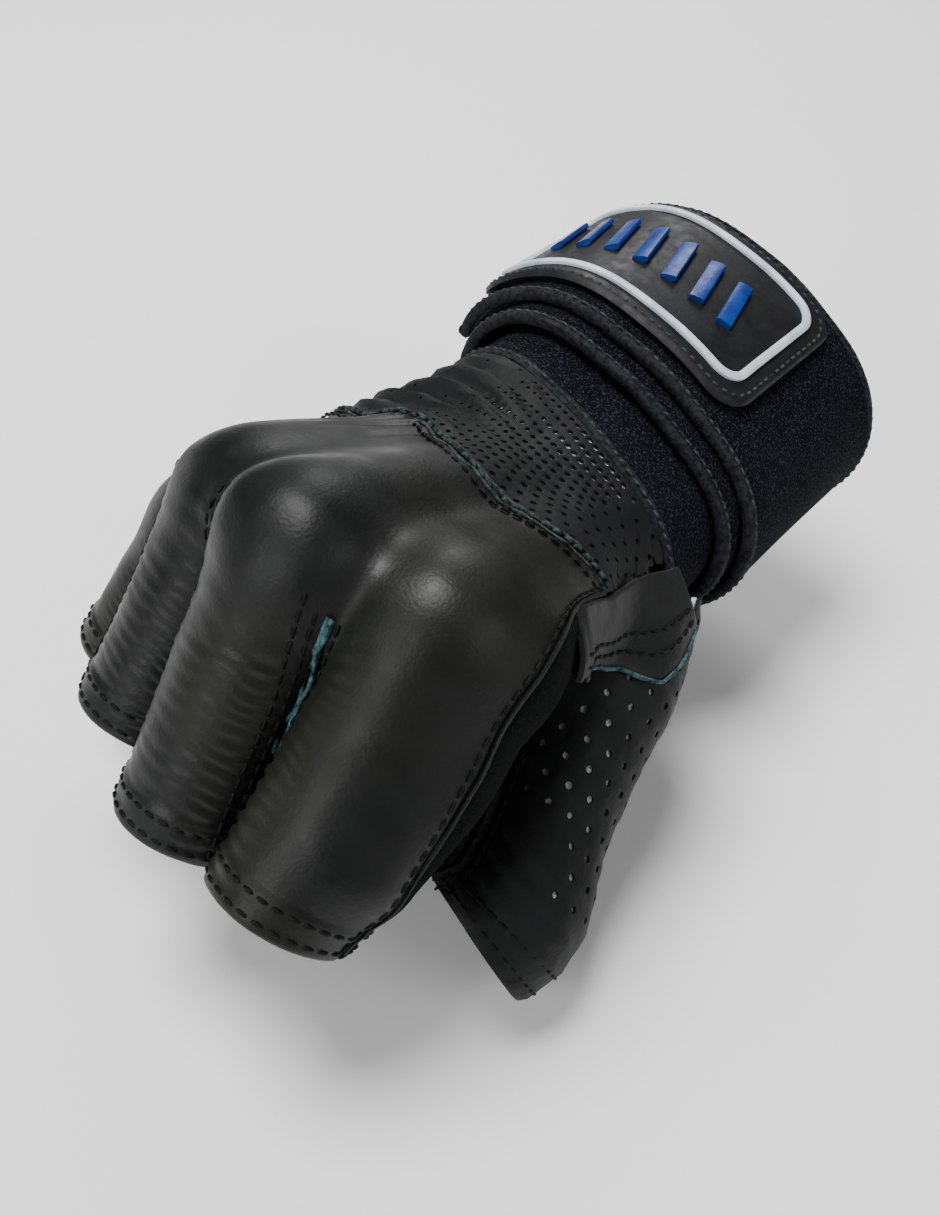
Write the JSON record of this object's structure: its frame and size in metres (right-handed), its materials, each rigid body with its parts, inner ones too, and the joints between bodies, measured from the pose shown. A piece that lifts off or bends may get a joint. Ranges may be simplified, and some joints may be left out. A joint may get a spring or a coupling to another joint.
{
  "type": "weightlifting glove",
  "caption": "Open-finger right-hand weightlifting glove in smooth and pierced leather, closed round an unseen grip, with a long wrist wrap and a moulded badge.",
  "frame": {"origin": "middle of the wrist inside the glove, where the hand comes in and holds it up", "axes": "+Y up the forearm, fingers towards -Y; +Z out of the back of the hand; +X to the thumb side"},
  "size_m": [0.1079, 0.171, 0.0869],
  "materials": {
    "smooth_leather": "soft sheen",
    "knit": "ribbed knit",
    "suede": "napped",
    "pierced_leather": "matte",
    "grey_cloth": "woven",
    "velour": "loop velour",
    "binding": "woven tape",
    "rubber": "satin",
    "silver_line": "satin",
    "blue_rubber": "satin"
  },
  "bodies": {
    "root": {"back_leather": "smooth_leather", "thumb_strip": "smooth_leather", "fourchette_index_middle": "knit", "fourchette_middle_ring": "knit", "fourchette_ring_little": "knit", "palm_suede": "suede", "thumb_suede": "suede", "perforated_back": "pierced_leather", "thumb_perforated": "pierced_leather", "back_lining": "grey_cloth", "thumb_lining": "grey_cloth", "cuff": "velour", "wrist_strap": "velour", "cuff_binding": "binding", "strap_binding_hand": "binding", "strap_binding_arm": "binding", "badge_plate": "rubber", "badge_frame": "silver_line", "badge_rib_1": "blue_rubber", "badge_rib_2": "blue_rubber", "badge_rib_3": "blue_rubber", "badge_rib_4": "blue_rubber", "badge_rib_5": "blue_rubber", "badge_rib_6": "blue_rubber", "badge_rib_7": "blue_rubber"}
  },
  "joints": []
}
